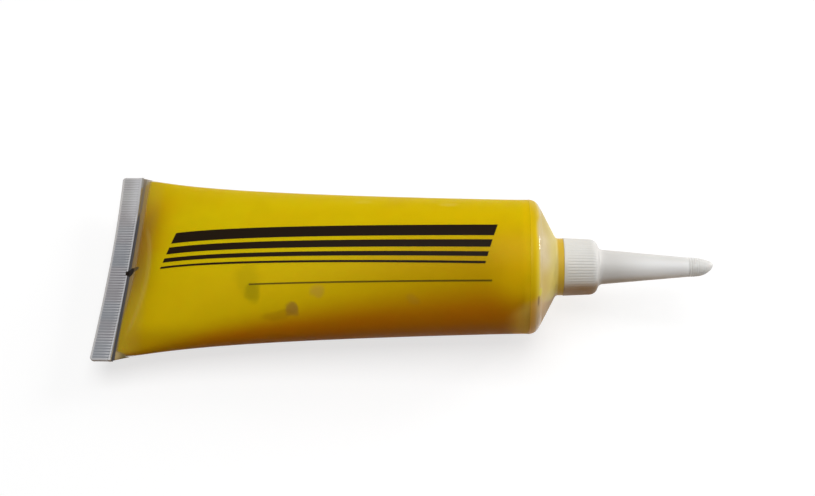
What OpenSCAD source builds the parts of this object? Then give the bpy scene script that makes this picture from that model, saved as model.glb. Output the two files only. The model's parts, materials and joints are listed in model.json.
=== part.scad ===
// Squeeze tube of lubricating grease with a screw-on nozzle and a push-on tip cap.
// Every piece is drawn along the tube's own axis, with the tail's edge at x = 0.
// The whole tube is then laid on its belly, which its own weight presses a little flat.

/* [Sleeve] */
// Diameter of the round end
tube_d = 35; // [30:0.5:42]
// Length from the tail's edge to the head
sleeve_len = 112.5; // [95:0.5:140]
// Thickness of the wall
wall = 0.6; // [0.4:0.1:0.8]
// Share of the length in which the sleeve swells out from its seal
swell = 0.033; // [0.028:0.001:0.045]

/* [Tail seal] */
// Width of the sealed band
seal_w = 5.5; // [4:0.1:8]
// Thickness over the ribs
seal_t = 1; // [0.9:0.05:1.4]
// How far the middle of the band is drawn in
seal_bow = 1; // [0:0.1:2]
// Ribs across each face of the band
seal_ribs = 70; // [40:1:90]
// Depth of the grooves between those ribs
seal_groove = 0.12; // [0.05:0.01:0.15]

/* [Head] */
// Radius of the rounded rim
rim_round = 2.5; // [1.5:0.1:3.5]
// Slope of the shoulder, in degrees from a flat disc
shoulder_slope = 28; // [18:1:36]
// Thickness of the shoulder
shoulder_t = 1.2; // [0.9:0.1:1.6]
// Length of the skirt that is welded inside the sleeve
skirt_len = 3; // [2:0.5:5]
// Diameter of the stop ring at the foot of the neck
stop_ring_d = 14.8; // [13.6:0.1:15.4]
// Length of the stop ring
stop_ring_len = 2; // [1.2:0.1:3]
// Diameter of the neck under its thread
neck_d = 10.4; // [10:0.1:10.8]
// Length of the neck beyond the stop ring
neck_len = 7.3; // [7:0.1:7.6]
// Bore of the neck
neck_bore = 7; // [5:0.1:7.5]

/* [Thread] */
// Advance in one turn
thread_pitch = 3; // [2.6:0.1:3.2]
// Height of the ridge
thread_h = 0.7; // [0.5:0.05:0.8]
// Width of the ridge at its foot
thread_foot = 1.5; // [1.2:0.1:1.6]
// Slope of the ridge's sides, in degrees from square
thread_flank = 30; // [15:1:30]
// Turns of the ridge on the neck
thread_turns = 1.5; // [1:0.25:1.5]
// Running clearance round the ridge
thread_gap = 0.25; // [0.2:0.01:0.3]

/* [Nozzle] */
// Diameter of the collar at its open edge
collar_d = 15; // [14.6:0.1:16]
// Draft of the collar, in degrees
collar_draft = 2.5; // [0:0.5:3]
// Length of the collar
collar_len = 8.7; // [8.4:0.1:10]
// Ribs round the collar
collar_ribs = 60; // [36:1:72]
// Depth of the grooves between the collar's ribs
collar_groove = 0.28; // [0.1:0.02:0.32]
// Smooth edge of the collar, clear of ribs
collar_band = 0.9; // [0.4:0.1:1.5]
// Radius of the collar's rounded end
collar_round = 1.5; // [0.8:0.1:2]
// Radius of the hollow fillet between collar and cone
cone_fillet = 0.8; // [0.4:0.1:1]
// Diameter of the cone at the collar
cone_base_d = 8.6; // [7.5:0.1:9]
// Diameter of the cone at the tip cap
cone_tip_d = 5; // [4.6:0.1:5.6]
// Length from the collar's open edge to the tip cap
nozzle_len = 31.8; // [26:0.1:45]
// Bore of the nozzle next to the neck
nozzle_bore = 5.8; // [4.5:0.1:6]
// Bore of the nozzle at its outlet
outlet_bore = 2.2; // [1.6:0.1:2.4]
// Diameter of the spigot that holds the tip cap
spigot_d = 3.5; // [3.2:0.1:3.8]
// Length of the spigot
spigot_len = 3; // [2:0.1:3.5]

/* [Tip cap] */
// Length of the tip cap
cap_len = 6.4; // [5.5:0.1:9]
// Fine rings round the foot of the cap
cap_rings = 3; // [0:1:4]
// Depth of the grooves between those rings
cap_groove = 0.1; // [0.05:0.01:0.15]

/* [Rest] */
// Tilt of the axis as the tube lies on its belly
rest_tilt = 4.3; // [4:0.1:4.8]
// Depth to which the belly is pressed flat
belly_press = 0.5; // [0.3:0.05:0.6]

/* [Hidden] */
$fn = 96;

// Clearance of the grease from the walls that hold it
grease_gap = 0.1;
// Gap between pieces that move against each other
joint_gap = 0.3;
// Radial clearance and end gap of the push-on cap
push_gap = 0.08;
// Radial clearance of the skirt inside the many-sided sleeve
weld_gap = 0.03;
// How far a piece that is joined on sinks into what carries it
sink = 0.4;
// Slice taken off the pressed belly to leave one true flat
belly_slice = 0.03;
// Broken edges on the head and the nozzle
broken_edge = 0.3;
// Plain foot of the neck before its thread starts, and steps in which the ridge rises
thread_lead = 1.2;
thread_rise = 3;
// The ribbed band stops short of the sleeve, and its web is thinner than the grooves leave it
seal_margin = 0.2;
web_relief = 0.1;
// Share of the collar's pitch that a groove takes up, and how far its cutter stands out
groove_share = 0.8;
groove_over = 0.2;
// How far a cutter runs past what it cuts
cut_over = 1;
// Points round the sleeve, rings along it and stations in a turn of thread
sleeve_sides = 64;
sleeve_rings = 14;
turn_steps = 24;
// Points along a rounded edge, along the tail's edge and along the cap
arc_steps = 8;
tail_steps = 24;
cap_steps = 16;
// Pitch of the fine rings on the cap
cap_ring_pitch = 0.5;
// Powers that shape the cap's rounded point
cap_belly_power = 1.9;
cap_point_power = 0.8;
// Share of the length from the seal at which the cavity and the grease begin
cavity_start = 0.012;
grease_start = 0.03;

// Radii
tube_r = tube_d / 2;
ring_r = stop_ring_d / 2;
neck_r = neck_d / 2;
thread_r = neck_r + thread_h;
socket_r = neck_r + thread_gap;
collar_r = collar_d / 2;
spigot_r = spigot_d / 2;
cap_r = cone_tip_d / 2;
skirt_r = (tube_r - wall) * cos(180 / sleeve_sides) - weld_gap;
skirt_bore_r = skirt_r - shoulder_t;

// Places along the axis
swell_len = sleeve_len - skirt_len - seal_w;
mouth_s = 1 + skirt_len / swell_len;
rim_corner_r = tube_r - rim_round;
shoulder_r = rim_corner_r + rim_round * sin(shoulder_slope);
shoulder_x = sleeve_len + rim_round * cos(shoulder_slope);
ring_x = shoulder_x + (shoulder_r - ring_r) * tan(shoulder_slope);
neck_x = ring_x + stop_ring_len;
neck_end = neck_x + neck_len;
thread_x = neck_x + thread_lead;
thread_end = thread_x + thread_turns * thread_pitch;
collar_x = neck_x + joint_gap;
collar_end = collar_x + collar_len;
socket_end = neck_end + joint_gap;
cap_x = collar_x + nozzle_len;
spigot_end = cap_x + spigot_len;
tip_x = cap_x + cap_len;

// Half the width of the flat tail, which is half the sleeve's girth
tail_half = PI * tube_r / 2;

// The sleeve's film does not stretch, so each section is an ellipse of one girth, round from
// the head's skirt on
function girth(a, b) = PI * (3 * (a + b) - sqrt((3 * a + b) * (a + 3 * b)));
function width_for(b, low, high, n) =
    let (mid = (low + high) / 2)
    n == 0 ? mid
    : girth(mid, b) > PI * tube_d ? width_for(b, low, mid, n - 1)
    : width_for(b, mid, high, n - 1);
function half_height(s) =
    let (seal = seal_t / 2)
    seal + (tube_r - seal) * ln(1 + min(max(s, 0), 1) / swell) / ln(1 + 1 / swell);
function half_width(s) = width_for(half_height(s), tube_r / 2, tail_half, 30);
function tail_bow(y) = seal_bow * (1 - pow(y / tail_half, 2));

// The floor, as a line in the tube's upright section, touches the belly at the rest tilt
touch_s = (tube_r - seal_t / 2) / (ln(1 + 1 / swell) * tan(rest_tilt) * swell_len) - swell;
touch_x = seal_w + touch_s * swell_len;
floor_z = touch_x * tan(rest_tilt) - half_height(touch_s) + belly_press;
function floor_at(x) = floor_z - x * tan(rest_tilt) - belly_slice;

// One ring of the sleeve, at share s of its length from the seal and a depth inside its skin
function sleeve_ring(s, depth) =
    let (h = half_height(s) - depth, w = half_width(s) - depth, x = seal_w + s * swell_len)
    [for (i = [0:sleeve_sides - 1])
        let (t = 360 * i / sleeve_sides, y = w * cos(t))
        let (px = x + tail_bow(y) * pow(1 - min(s, 1), 4))
        [px, y, max(h * sin(t), floor_at(px) + depth)]];
function sleeve_rings_from(start, depth) =
    concat([for (i = [0:sleeve_rings]) sleeve_ring(start + (1 - start) * pow(i / sleeve_rings, 2), depth)],
           [sleeve_ring(mouth_s, depth)]);
function pushed(ring, dx) = [for (p = ring) [p.x + dx, p.y, p.z]];
function thinned(ring, k) = [for (p = ring) [p.x, p.y, p.z * k]];

// Triangles over a row of rings of n points, and over one ring
function skin_faces(rings, n) =
    [for (k = [0:rings - 2], i = [0:n - 1], half = [0, 1])
        let (j = (i + 1) % n, a = k * n, b = a + n)
        half == 0 ? [a + i, b + i, b + j] : [a + i, b + j, a + j]];
function end_faces(n) =
    concat([for (i = [0:n / 2 - 2]) [i, i + 1, n - i - 1]],
           [for (i = [1:n / 2 - 1]) [i, n - i - 1, n - i]]);
function turned_over(faces, first) = [for (f = faces) [first + f[2], first + f[1], first + f[0]]];

// A closed solid over a row of rings
module skinned(rings) {
    n = len(rings[0]);
    last = (len(rings) - 1) * n;
    polyhedron([for (r = rings, p = r) p],
        concat(skin_faces(len(rings), n), end_faces(n), turned_over(end_faces(n), last)));
}

// Points of an arc in an outline of [radius, place along the axis]
function arc(centre, r, from, to) =
    [for (i = [0:arc_steps])
        let (t = from + (to - from) * i / arc_steps)
        [centre[0] + r * cos(t), centre[1] + r * sin(t)]];

// Turns an outline of [radius, place along the axis] about the tube's axis
module turned(outline) {
    rotate([90, 0, 90]) rotate_extrude() polygon(outline);
}

// Lays the tube on its belly, with the middle of its length at the origin
module laid() {
    translate([-tip_x * cos(rest_tilt) / 2, 0, -floor_z * cos(rest_tilt)])
        rotate([0, -rest_tilt, 0]) children();
}

// Helical ridge between two places along the axis, grown by a gap; fade sinks its ends
module thread_ridge(from, to, low_r, top_r, gap, fade) {
    steps = round(turn_steps * (to - from) / thread_pitch);
    skinned([for (k = [0:steps])
        let (x = from + (to - from) * k / steps, t = 360 * (x - neck_x) / thread_pitch)
        let (rise = fade ? min(1, k / thread_rise, (steps - k) / thread_rise) : 1)
        let (high_r = low_r + sink / 2 + (top_r - low_r - sink / 2) * rise)
        [for (c = [[low_r, -1], [low_r, 1], [high_r, 1], [high_r, -1]])
            let (w = thread_foot / 2 - (c[0] - neck_r) * tan(thread_flank) + gap / cos(thread_flank))
            [x + c[1] * w, c[0] * cos(t), c[0] * sin(t)]]]);
}

// Sealed tail: a flat web under a band of fine ribs, both with a drawn-in edge
module tail_outline(from, to) {
    side = [for (i = [0:tail_steps]) tail_half * (2 * i / tail_steps - 1)];
    polygon(concat([for (y = side) [from + tail_bow(y), y]],
        [for (i = [tail_steps:-1:0]) [to + tail_bow(side[i]), side[i]]]));
}
module ribbed_section() {
    pitch = 2 * tail_half / seal_ribs;
    crest = seal_t / 2;
    root = crest - seal_groove;
    edge = [for (i = [0:seal_ribs - 1], k = [0, 1])
        [-tail_half + pitch * (i + k / 2), k == 0 ? root : crest]];
    polygon(concat(edge, [[tail_half, root]], [[tail_half, -root]],
        [for (i = [len(edge) - 1:-1:0]) [edge[i].x, -edge[i].y]]));
}
module tail_seal() {
    web = seal_t - 2 * seal_groove - web_relief;
    translate([0, 0, -web / 2]) linear_extrude(web) tail_outline(0, seal_w + sink);
    intersection() {
        rotate([90, 0, 90]) linear_extrude(2 * seal_w) ribbed_section();
        translate([0, 0, -seal_t]) linear_extrude(2 * seal_t) tail_outline(0, seal_w - seal_margin);
    }
}

module tube_sleeve() {
    root = thinned(pushed(sleeve_ring(0, 0), -cut_over), sink);
    outside = concat([root], sleeve_rings_from(0, 0));
    mouth = pushed(sleeve_ring(mouth_s, wall), cut_over);
    inside = concat(sleeve_rings_from(cavity_start, wall), [mouth]);
    color([0.86, 0.84, 0.74, 0.45])
        difference() {
            laid() {
                difference() {
                    union() {
                        skinned(outside);
                        tail_seal();
                    }
                    skinned(inside);
                }
            }
            translate([-tip_x, -tube_d, -tube_d]) cube([2 * tip_x, 2 * tube_d, tube_d]);
        }
}

module tube_head() {
    inner_x = shoulder_x - shoulder_t / cos(shoulder_slope);
    skirt_top = inner_x + (shoulder_r - skirt_bore_r) * tan(shoulder_slope);
    bore_x = inner_x + (shoulder_r - neck_bore / 2) * tan(shoulder_slope);
    edge = broken_edge;
    color([0.86, 0.78, 0.42, 0.7])
        laid() {
            turned(concat(
                [[skirt_bore_r, sleeve_len - skirt_len]],
                [[skirt_r, sleeve_len - skirt_len], [skirt_r, sleeve_len]],
                arc([rim_corner_r, sleeve_len], rim_round, 0, 90 - shoulder_slope),
                [[ring_r, ring_x], [ring_r, neck_x - edge], [ring_r - edge, neck_x]],
                [[neck_r, neck_x], [neck_r, neck_end - edge], [neck_r - edge, neck_end]],
                [[neck_bore / 2, neck_end], [neck_bore / 2, bore_x], [skirt_bore_r, skirt_top]]));
            thread_ridge(thread_x, thread_end, neck_r - sink, thread_r, 0, true);
        }
}

module grease_fill() {
    end_x = sleeve_len - skirt_len - joint_gap;
    end_s = (end_x - seal_w) / swell_len;
    body = [for (i = [0:sleeve_rings])
        sleeve_ring(grease_start + (end_s - grease_start) * pow(i / sleeve_rings, 1.5), wall + grease_gap)];
    inner_x = shoulder_x - shoulder_t / cos(shoulder_slope) - 2 * grease_gap;
    plug_r = skirt_bore_r - grease_gap;
    core_r = neck_bore / 2 - grease_gap;
    color([0.8, 0.66, 0.05])
        laid() {
            skinned(body);
            turned([[0, end_x - cut_over], [plug_r, end_x - cut_over],
                [plug_r, inner_x + (shoulder_r - plug_r) * tan(shoulder_slope)],
                [core_r, inner_x + (shoulder_r - core_r) * tan(shoulder_slope)],
                [core_r, neck_end], [0, neck_end]]);
        }
}

module nozzle() {
    collar_top_r = collar_r - (collar_len - collar_round) * tan(collar_draft);
    round_x = collar_end - collar_round;
    cone_x = collar_end + cone_fillet;
    cone_r = cone_base_d / 2;
    edge = broken_edge;
    color([0.95, 0.95, 0.93])
        laid() {
            difference() {
                turned(concat(
                    [[socket_r, collar_x], [collar_r - edge, collar_x], [collar_r, collar_x + edge]],
                    arc([collar_top_r - collar_round, round_x], collar_round, 0, 90),
                    arc([cone_r + cone_fillet, cone_x], cone_fillet, -90, -180),
                    [[cap_r, cap_x], [spigot_r, cap_x]],
                    [[spigot_r, spigot_end - edge], [spigot_r - edge, spigot_end]],
                    [[outlet_bore / 2, spigot_end], [nozzle_bore / 2, socket_end], [socket_r, socket_end]]));
                thread_ridge(collar_x - thread_pitch, thread_end + thread_pitch / 8, socket_r - sink,
                    thread_r + thread_gap, thread_gap, false);
                for (i = [0:collar_ribs - 1]) rotate([360 * i / collar_ribs, 0, 0]) collar_groove_cut();
            }
        }
}

// One groove of the collar, along its draft and open at the rounded end
module collar_groove_cut() {
    half = PI * collar_r / collar_ribs * groove_share * (1 + groove_over);
    translate([collar_x + collar_band, 0, collar_r - collar_band * tan(collar_draft)])
        rotate([0, 90 + collar_draft, 0]) linear_extrude(collar_len)
            polygon([[collar_groove, 0], [-groove_over, half], [-groove_over, -half]]);
}

module nozzle_grease() {
    from = socket_end + grease_gap;
    length = spigot_end - socket_end;
    slope = (nozzle_bore - outlet_bore) / 2 / length;
    from_r = nozzle_bore / 2 - grease_gap;
    to = spigot_end - joint_gap;
    color([0.8, 0.66, 0.05])
        laid() turned([[0, from], [from_r - slope * grease_gap, from],
            [from_r - slope * (to - socket_end), to], [0, to]]);
}

// Radius of the tip cap at share u of its length
function cap_radius(u) = cap_r * pow(1 - pow(u, cap_belly_power), cap_point_power);

module tip_cap() {
    foot = cap_x + push_gap;
    length = tip_x - foot;
    socket = spigot_r + push_gap;
    socket_top = spigot_end + joint_gap;
    color([0.88, 0.88, 0.86])
        laid() {
            difference() {
                turned(concat([[0, foot]],
                    [for (i = [0:cap_steps])
                        let (u = i / cap_steps)
                        [cap_radius(u), foot + length * u]]));
                turned([[0, foot - cut_over], [socket, foot - cut_over],
                    [socket, socket_top], [0, socket_top]]);
                for (i = [1:1:cap_rings])
                    cap_ring_cut(foot + i * cap_ring_pitch, i * cap_ring_pitch / length);
            }
        }
}

// One fine groove round the cap, at a place along the axis and at share u of the cap's length
module cap_ring_cut(x, u) {
    low = cap_radius(u) - cap_groove;
    high = low + cut_over;
    turned([[low, x], [high, x - cut_over], [high, x + cut_over]]);
}

tube_sleeve();
tube_head();
grease_fill();
nozzle();
nozzle_grease();
tip_cap();
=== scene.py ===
import json
import math

import bmesh
import bpy
from mathutils import Matrix, Vector


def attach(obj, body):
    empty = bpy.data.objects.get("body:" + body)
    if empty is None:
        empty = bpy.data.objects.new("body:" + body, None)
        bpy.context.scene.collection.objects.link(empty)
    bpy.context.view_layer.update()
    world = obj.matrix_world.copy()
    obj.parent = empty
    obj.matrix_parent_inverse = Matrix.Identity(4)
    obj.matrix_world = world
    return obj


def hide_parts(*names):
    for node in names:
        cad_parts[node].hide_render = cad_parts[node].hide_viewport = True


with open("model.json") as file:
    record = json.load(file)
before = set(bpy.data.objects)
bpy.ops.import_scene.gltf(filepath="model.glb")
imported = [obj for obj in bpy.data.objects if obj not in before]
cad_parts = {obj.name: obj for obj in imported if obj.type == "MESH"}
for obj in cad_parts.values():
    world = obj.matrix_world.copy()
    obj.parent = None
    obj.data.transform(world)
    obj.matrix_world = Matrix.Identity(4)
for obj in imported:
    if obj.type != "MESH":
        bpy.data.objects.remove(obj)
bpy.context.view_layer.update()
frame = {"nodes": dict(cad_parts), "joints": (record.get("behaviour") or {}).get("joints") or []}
scene = bpy.context.scene
scene.view_settings.view_transform = "Standard"
mm = 0.001
print("frame loaded:", sorted(frame["nodes"]))


# the tube is drawn along x from its tail's edge, in mm, and laid down at the end
hinge = next(j for j in frame["joints"] if j["name"] == "nozzle_turn")
hingePlace = 125.0  # mm from the tail's edge
tubeAxis = Vector(hinge["axis"]).normalized()
restTilt = math.atan2(tubeAxis.z, tubeAxis.x)
tailPoint = Vector(hinge["pos_m"]) - hingePlace * mm * tubeAxis
layDown = Matrix.Translation(tailPoint) @ Matrix.Rotation(-restTilt, 4, "Y")

tubeShape = {
    "radius": 17.5, "length": 112.5, "skirt": 3.0,
    "sealWidth": 5.5, "sealHalf": 0.5, "sealBow": 1.0, "lowBow": 0.6, "swell": 0.033,
    "rim": 3.2, "rimStart": 112.39, "slope": 27,  # degrees between the shoulder and a flat end
    "sides": 160, "rings": 44, "halvings": 40,
}
rimStart = tubeShape["rimStart"]
rimCentre = tubeShape["radius"] - tubeShape["rim"]
slopeRise = math.tan(math.radians(tubeShape["slope"]))
swellLength = tubeShape["length"] - tubeShape["skirt"] - tubeShape["sealWidth"]
tailHalf = math.pi * tubeShape["radius"] / 2


def halfHeight(share):
    rise = math.log(1 + min(max(share, 0), 1) / tubeShape["swell"])
    rise /= math.log(1 + 1 / tubeShape["swell"])
    return tubeShape["sealHalf"] + (tubeShape["radius"] - tubeShape["sealHalf"]) * rise


def girth(a, b):
    return math.pi * (3 * (a + b) - math.sqrt((3 * a + b) * (a + 3 * b)))


def halfWidth(height):  # the film doesn't stretch, so every section has one girth
    low, high = tubeShape["radius"] / 2, tailHalf
    for _ in range(tubeShape["halvings"]):
        middle = (low + high) / 2
        if girth(middle, height) > 2 * math.pi * tubeShape["radius"]:
            high = middle
        else:
            low = middle
    return low


def shareAt(x):  # 0 at the seal, 1 where the tube is round
    return (x - tubeShape["sealWidth"]) / swellLength


def tailBow(y):  # the seal's line curves a little more on its far side
    drop = tubeShape["sealBow"] if y > 0 else tubeShape["lowBow"]
    return tubeShape["sealBow"] - drop * (y / tailHalf) ** 2


def bowedPlace(x, y):  # the seal's bow dies out along the tube
    share = min(max(shareAt(x), 0), 1)
    return x + tailBow(y) * (1 - share) ** 4


def rimRadius(x):  # the film's end and the head share one rounded rim
    past = max(0, x - rimStart)
    return rimCentre + math.sqrt(tubeShape["rim"] ** 2 - past ** 2)


def floorAt(x):  # height of the table under a place on the axis
    return -(tailPoint.z / mm + x * math.sin(restTilt)) / math.cos(restTilt)


def swellSections(start, end, depthAt):  # rings stand closer together towards the tail
    sections = []
    for i in range(tubeShape["rings"] + 1):
        share = start + (end - start) * (i / tubeShape["rings"]) ** 2
        height, depth = halfHeight(share), depthAt(share)
        place = tubeShape["sealWidth"] + share * swellLength
        sections.append((place, halfWidth(height) - depth, height - depth))
    return sections


# modelling helpers
def clearSelection():
    if bpy.context.object and bpy.context.object.mode != "OBJECT":
        bpy.ops.object.mode_set(mode="OBJECT")
    bpy.ops.object.select_all(action="DESELECT")


def selectPiece(piece):
    clearSelection()
    piece.select_set(True)
    bpy.context.view_layer.objects.active = piece


def editPiece(piece):
    selectPiece(piece)
    bpy.ops.object.mode_set(mode="EDIT")
    bpy.ops.mesh.select_mode(type="VERT")
    bpy.ops.mesh.select_all(action="DESELECT")


def pickVerts(piece, test):
    bpy.ops.mesh.select_all(action="DESELECT")
    mesh = bmesh.from_edit_mesh(piece.data)
    for vert in mesh.verts:
        vert.select = bool(test(vert))
    mesh.select_flush_mode()
    bmesh.update_edit_mesh(piece.data)


def moveVerts(piece, move):  # shapes that no operator gives; in mm
    for vert in piece.data.vertices:
        vert.co = Vector(move(vert.index, *(vert.co / mm))) * mm


def closeMesh(piece):
    editPiece(piece)
    bpy.ops.mesh.select_all(action="SELECT")
    bpy.ops.mesh.remove_doubles(threshold=0.002 * mm)
    bpy.ops.mesh.normals_make_consistent(inside=False)
    clearSelection()


def ringTube(name, sections, sides):  # sections of (place, half width, half height), in mm
    clearSelection()
    bpy.ops.mesh.primitive_circle_add(vertices=sides, radius=mm, fill_type="NOTHING",
                                      rotation=(0, math.pi / 2, 0))
    piece = bpy.context.object
    piece.name = name
    bpy.ops.object.transform_apply(location=False, rotation=True, scale=False)
    editPiece(piece)
    bpy.ops.mesh.select_all(action="SELECT")
    bpy.ops.mesh.edge_face_add()
    bpy.ops.transform.resize(value=(1, sections[0][1], sections[0][2]), center_override=(0, 0, 0))
    bpy.ops.transform.translate(value=(sections[0][0] * mm, 0, 0))
    for (x0, w0, h0), (x1, w1, h1) in zip(sections, sections[1:]):
        bpy.ops.mesh.extrude_region_move(TRANSFORM_OT_translate={"value": ((x1 - x0) * mm, 0, 0)})
        bpy.ops.transform.resize(value=(1, w1 / w0, h1 / h0), center_override=(x1 * mm, 0, 0))
    clearSelection()
    return piece


def turnedPiece(name, outline, steps, closed=True):  # outline of (place, radius), in mm
    clearSelection()
    bpy.ops.mesh.primitive_plane_add(size=mm)
    piece = bpy.context.object
    piece.name = name
    editPiece(piece)
    bpy.ops.mesh.select_all(action="SELECT")
    bpy.ops.mesh.merge(type="CENTER")
    bpy.ops.transform.translate(value=(outline[0][0] * mm, outline[0][1] * mm, 0))
    for (x0, r0), (x1, r1) in zip(outline, outline[1:]):
        bpy.ops.mesh.extrude_vertices_move(
            TRANSFORM_OT_translate={"value": ((x1 - x0) * mm, (r1 - r0) * mm, 0)})
    if closed:
        last = len(outline) - 1
        pickVerts(piece, lambda vert: vert.index in (0, last))
        bpy.ops.mesh.edge_face_add()
    bpy.ops.mesh.select_all(action="SELECT")
    bpy.ops.mesh.spin(steps=steps, angle=2 * math.pi, center=(0, 0, 0), axis=(1, 0, 0))
    closeMesh(piece)
    return piece


def arcPoints(place, radius, size, start, end, steps):
    points = []
    for i in range(steps + 1):
        turn = math.radians(start + (end - start) * i / steps)
        points.append((place + size * math.sin(turn), radius + size * math.cos(turn)))
    return points


def linePoints(first, last, steps):
    return [tuple(a + (b - a) * i / steps for a, b in zip(first, last)) for i in range(steps + 1)]


def applyModifier(piece, kind, settings):
    selectPiece(piece)
    made = piece.modifiers.new(kind.lower(), kind)
    for name, value in settings.items():
        setattr(made, name, value)
    bpy.ops.object.modifier_apply(modifier=made.name)


def joinPieces(first, *others):
    clearSelection()
    for piece in (first,) + others:
        piece.select_set(True)
    bpy.context.view_layer.objects.active = first
    bpy.ops.object.join()
    return first


def coatPiece(piece, *finishes):
    piece.data.materials.clear()
    for finish in finishes:
        piece.data.materials.append(finish.material)


def finishPiece(piece, body, node, angle=40):
    selectPiece(piece)
    bpy.ops.object.shade_smooth_by_angle(angle=math.radians(angle))
    piece.matrix_world = layDown
    bpy.ops.object.transform_apply(location=True, rotation=True, scale=True)
    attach(piece, body)
    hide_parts(node)
    print("made", piece.name, len(piece.data.polygons), "faces")


# shader helpers: a socket with the usual operators
class Flow:
    def __init__(self, tree, socket=None):
        self.tree, self.socket = tree, socket

    def node(self, kind, settings=None, sockets=None, output=0):
        made = self.tree.nodes.new("ShaderNode" + kind)
        for name, value in (settings or {}).items():
            setattr(made, name, value)
        for name, value in (sockets or {}).items():
            if isinstance(value, Flow):
                self.tree.links.new(value.socket, made.inputs[name])
            else:
                made.inputs[name].default_value = value
        return Flow(self.tree, made.outputs[output])

    def calc(self, operation, *values):
        return self.node("Math", {"operation": operation}, dict(enumerate(values)))

    def __add__(self, other):
        return self.calc("ADD", self, other)

    __radd__ = __add__

    def __sub__(self, other):
        return self.calc("SUBTRACT", self, other)

    def __rsub__(self, other):
        return self.calc("SUBTRACT", other, self)

    def __mul__(self, other):
        return self.calc("MULTIPLY", self, other)

    __rmul__ = __mul__

    def __truediv__(self, other):
        return self.calc("DIVIDE", self, other)

    def __pow__(self, other):
        return self.calc("POWER", self, other)

    def __abs__(self):
        return self.calc("ABSOLUTE", self)

    def larger(self, other):
        return self.calc("MAXIMUM", self, other)

    def smaller(self, other):
        return self.calc("MINIMUM", self, other)

    def cosine(self):
        return self.calc("COSINE", self)

    def soft(self, low, high):  # 0 at low, 1 at high, smooth between
        settings = {"interpolation_type": "SMOOTHSTEP"}
        return self.node("MapRange", settings, {0: self, 1: low, 2: high})

    def near(self, middle, half, edge):  # 1 within half of middle
        return abs(self - middle).soft(half + edge, half)

    def between(self, low, high, edge):  # 1 from low to high
        return self.soft(low - edge, low + edge) * self.soft(high + edge, high - edge)

    def spot(self, other, place, reach):  # 1 inside an oval of these two values, soft at its edge
        first, second = (self - place[0]) / reach[0], (other - place[1]) / reach[1]
        return (first * first + second * second).soft(2.0, 0.1)

    def blend(self, first, second):  # a colour between two, by this factor
        return self.node("Mix", {"data_type": "RGBA"}, {0: self, 6: first, 7: second}, 2)

    def cloud(self, scale, detail=2.0, stretch=(1, 1, 1)):  # noise about 0.5 on a place
        spread = self.node("VectorMath", {"operation": "MULTIPLY"}, {0: self, 1: stretch})
        return self.node("TexNoise", None, {"Vector": spread, "Scale": scale, "Detail": detail}, "Fac")

    def bump(self, strength, distance):
        sockets = {"Height": self, "Strength": strength, "Distance": distance}
        return self.node("Bump", None, sockets, "Normal")


def largest(masks):
    most = masks[0]
    for mask in masks[1:]:
        most = most.larger(mask)
    return most


def layered(base, layers):  # each layer is (mask, tint), the last one on top
    for mask, tint in layers:
        base = mask.blend(base, tint)
    return base


def colour(red, green, blue):  # screen values to the shader's
    return tuple(c / 12.92 if c <= 0.04045 else ((c + 0.055) / 1.055) ** 2.4
                 for c in (red / 255, green / 255, blue / 255)) + (1.0,)


class Finish:
    shadedWay = (0, -0.8, -0.6)  # towards the table on the near side

    def __init__(self, name, constants):
        self.material = bpy.data.materials.new(name)
        self.material.use_nodes = True
        tree = self.material.node_tree
        tree.nodes.clear()
        self.shader = tree.nodes.new("ShaderNodeBsdfPrincipled")
        output = tree.nodes.new("ShaderNodeOutputMaterial")
        tree.links.new(self.shader.outputs[0], output.inputs["Surface"])
        for socket, value in constants.items():
            self.shader.inputs[socket].default_value = value
        start = Flow(tree)
        self.place = start.node("Mapping", {"vector_type": "TEXTURE"}, {
            "Vector": start.node("TexCoord", None, None, "Object"), "Location": tailPoint,
            "Rotation": (0, -restTilt, 0), "Scale": (mm, mm, mm)})  # tube's own mm
        axes = [self.place.node("SeparateXYZ", None, {0: self.place}, i) for i in range(3)]
        self.x, self.y, self.z = axes

    def feed(self, links):
        for socket, value in links.items():
            value.tree.links.new(value.socket, self.shader.inputs[socket])

    def turnAround(self):  # degrees about the tube's axis: 0 at -y, 90 on top
        return self.place.calc("ARCTAN2", self.z, 0 - self.y) * (180 / math.pi)

    def sealDistance(self):  # from the seal's inner line
        high, low = self.y.larger(0), self.y.smaller(0)
        fall = high * high * tubeShape["sealBow"] + low * low * tubeShape["lowBow"]
        return self.x - tubeShape["sealWidth"] - tubeShape["sealBow"] + fall / tailHalf ** 2

    def downward(self):  # 1 where the surface faces the shaded side
        facing = self.place.node("TexCoord", None, None, "Normal")
        sockets = {0: facing, 1: self.shadedWay}
        return self.place.node("VectorMath", {"operation": "DOT_PRODUCT"}, sockets, 1)


# film sleeve with its ribbed seal
filmSleeve = {
    "wall": 0.03, "cavityStart": 0.003, "insideStart": 2.0, "endRings": (110.4, 111.3, 112.0, 112.25),
    "roughness": 0.34, "clearAlpha": 0.05, "hazeAlpha": 0.07,
    "veilAlpha": 0.08, "stripAlpha": 0.55, "creaseAlpha": 0.13, "cornerAlpha": (0.65, 0.27),
    "filmColour": colour(236, 206, 8), "innerColour": colour(226, 194, 6),
    "veilColour": colour(196, 176, 120), "stripColour": colour(200, 174, 120),
    # the crease colour is a painted highlight along the film's crease
    "creaseHighlight": colour(244, 226, 150), "topShadeColour": colour(170, 156, 134),
    "shadeLineColour": colour(84, 85, 92), "inkColour": colour(34, 22, 8),
    "nearCorner": colour(140, 124, 76), "farCorner": colour(190, 184, 174),
    "veilFade": (9, 3), "veilTint": (9, 5),  # mm from the seal
    "stripFade": (3.7, 2.2), "stripTint": (4.1, 2.9), "topShade": (1.0, 0.2, 0.4), "shadeLine": (0.6, 0.25),
    "creasePlace": (7.25, 0.3, 0.9), "creaseSpan": (-6, 13, 5), "creaseBend": 0.014, "creaseMiddle": -5,
}
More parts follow.
